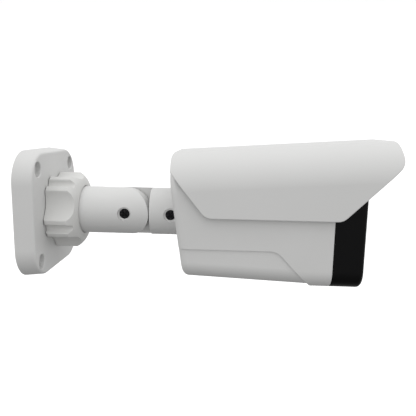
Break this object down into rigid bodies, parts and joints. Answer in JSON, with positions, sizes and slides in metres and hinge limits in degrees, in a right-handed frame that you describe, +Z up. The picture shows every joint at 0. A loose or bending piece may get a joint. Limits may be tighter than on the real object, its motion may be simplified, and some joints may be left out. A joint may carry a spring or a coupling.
{
  "type": "security camera",
  "caption": "Outdoor bullet security camera with a sun shield, on a wall plate with a lock ring and an arm that tilts and turns.",
  "frame": {"origin": "centre of the wall plate's rear face, on the arm's axis", "axes": "+X away from the wall along the arm to the camera's front, +Z up, +Y to the camera's left"},
  "size_m": [0.2556, 0.0964, 0.1009],
  "materials": {
    "body_paint": "satin light grey powder coat on die-cast aluminium",
    "shield_plastic": "fine-textured light grey moulding",
    "ring_plastic": "light grey moulded nylon",
    "bezel_black": "deep black moulding, satin gloss",
    "window_glass": "smoked clear window",
    "lens_glass": "coated optical glass",
    "clear_cup": "clear acrylic",
    "filter_glass": "infrared-cut glass",
    "mask_black": "matt black",
    "lens_black": "black anodised",
    "screw_black": "black oxide steel",
    "screw_steel": "zinc-plated steel",
    "bracket_metal": "pressed sheet, plain",
    "rubber_black": "matt rubber",
    "nylon_natural": "natural nylon",
    "board_green": "green solder mask on glass-fibre laminate",
    "chip_black": "moulded epoxy",
    "socket_white": "natural moulded plastic",
    "sensor_face": "image sensor under cover glass",
    "emitter_ceramic": "ceramic package",
    "card_dark": "memory card",
    "bag_paper": "spun-bonded bag"
  },
  "bodies": {
    "wall_side": {"base_plate": "body_paint", "wall_gasket": "rubber_black", "cable_grommet": "rubber_black", "thrust_seal": "rubber_black", "clamp_collar": "nylon_natural"},
    "slip_washer": {"slip_washer": "screw_steel"},
    "lock_ring": {"lock_ring": "ring_plastic"},
    "inner_arm": {"inner_arm": "body_paint"},
    "elbow_screw": {"elbow_screw": "screw_black"},
    "outer_arm": {"outer_arm": "body_paint", "elbow_nut": "screw_steel", "friction_washer": "nylon_natural"},
    "roll_screw": {"roll_screw": "screw_black"},
    "head": {"head_stem": "bracket_metal", "stem_washer": "screw_steel", "stem_plug": "rubber_black", "housing": "body_paint", "front_gasket": "rubber_black", "front_bezel": "bezel_black", "bezel_screws": "screw_black", "front_window": "window_glass", "window_gasket": "rubber_black", "front_mask": "mask_black", "lens_baffle": "rubber_black", "lens_holder": "mask_black", "filter_coil": "chip_black", "image_sensor": "sensor_face", "sensor_board": "board_green", "sensor_posts": "bracket_metal", "sensor_screws": "screw_steel", "bracket": "bracket_metal", "bracket_screws": "screw_steel", "main_board": "board_green", "board_screws": "screw_steel", "main_chips": "chip_black", "network_socket": "socket_white", "card_socket": "screw_steel", "reset_switch": "chip_black", "drying_bag": "bag_paper", "infrared_board": "board_green", "infrared_emitters": "emitter_ceramic", "emitter_lenses": "clear_cup", "light_sensor": "clear_cup", "shield_rails": "bracket_metal", "rail_screws": "screw_steel"},
    "lens": {"lens_barrel": "lens_black", "front_lens_glass": "lens_glass", "rear_lens_glass": "lens_glass"},
    "filter": {"filter_shuttle": "chip_black", "filter_glasses": "filter_glass"},
    "memory_card": {"memory_card": "card_dark"},
    "reset_button": {"reset_button": "socket_white"},
    "service_cover": {"service_cover": "body_paint", "service_gasket": "rubber_black", "service_screws": "screw_steel"},
    "sun_shield": {"sun_shield": "shield_plastic"}
  },
  "joints": [
    {"name": "ring_travel", "type": "slide", "parent": "wall_side", "child": "slip_washer", "axis": [1, 0, 0], "range_m": [0, 0.002]},
    {"name": "ring_turn", "type": "hinge", "parent": "slip_washer", "child": "lock_ring", "pos_m": [0.025, 0, 0], "axis": [1, 0, 0], "range_deg": [0, 360]},
    {"name": "pan", "type": "hinge", "parent": "wall_side", "child": "inner_arm", "pos_m": [0.03, 0, 0], "axis": [1, 0, 0], "range_deg": [-180, 180]},
    {"name": "elbow", "type": "hinge", "parent": "inner_arm", "child": "outer_arm", "pos_m": [0.0689, 0, 0], "axis": [0, 1, 0], "range_deg": [-90, 90]},
    {"name": "head_roll", "type": "hinge", "parent": "outer_arm", "child": "head", "pos_m": [0.105, 0, 0], "axis": [1, 0, 0], "range_deg": [-180, 180]},
    {"name": "elbow_screw_turn", "type": "hinge", "parent": "inner_arm", "child": "elbow_screw", "pos_m": [0.0689, 0, 0], "axis": [0, -1, 0], "range_deg": [0, 180]},
    {"name": "roll_screw_turn", "type": "hinge", "parent": "outer_arm", "child": "roll_screw", "pos_m": [0.1026, 0, 0], "axis": [0, -1, 0], "range_deg": [0, 180]},
    {"name": "shield_slide", "type": "slide", "parent": "head", "child": "sun_shield", "axis": [1, 0, 0], "range_m": [-0.004, 0.012]},
    {"name": "service_cover_off", "type": "slide", "parent": "head", "child": "service_cover", "axis": [-0.0419, 0, -0.9991], "range_m": [0, 0.04]},
    {"name": "lens_focus", "type": "hinge", "parent": "head", "child": "lens", "pos_m": [0.215, 0, -0.0033], "axis": [1, 0, 0], "range_deg": [-180, 180]},
    {"name": "filter_slide", "type": "slide", "parent": "head", "child": "filter", "axis": [0, 1, 0], "range_m": [0, 0.012]},
    {"name": "card_slide", "type": "slide", "parent": "head", "child": "memory_card", "axis": [-1, 0, 0], "range_m": [0, 0.012]},
    {"name": "reset_press", "type": "slide", "parent": "head", "child": "reset_button", "axis": [0, 0, 1], "range_m": [0, 0.0006], "stiffness_N_per_m": 800}
  ],
  "couplings": [
    {"joint": "ring_travel", "follows": "ring_turn", "m_per_rad": 0.00031831}
  ]
}
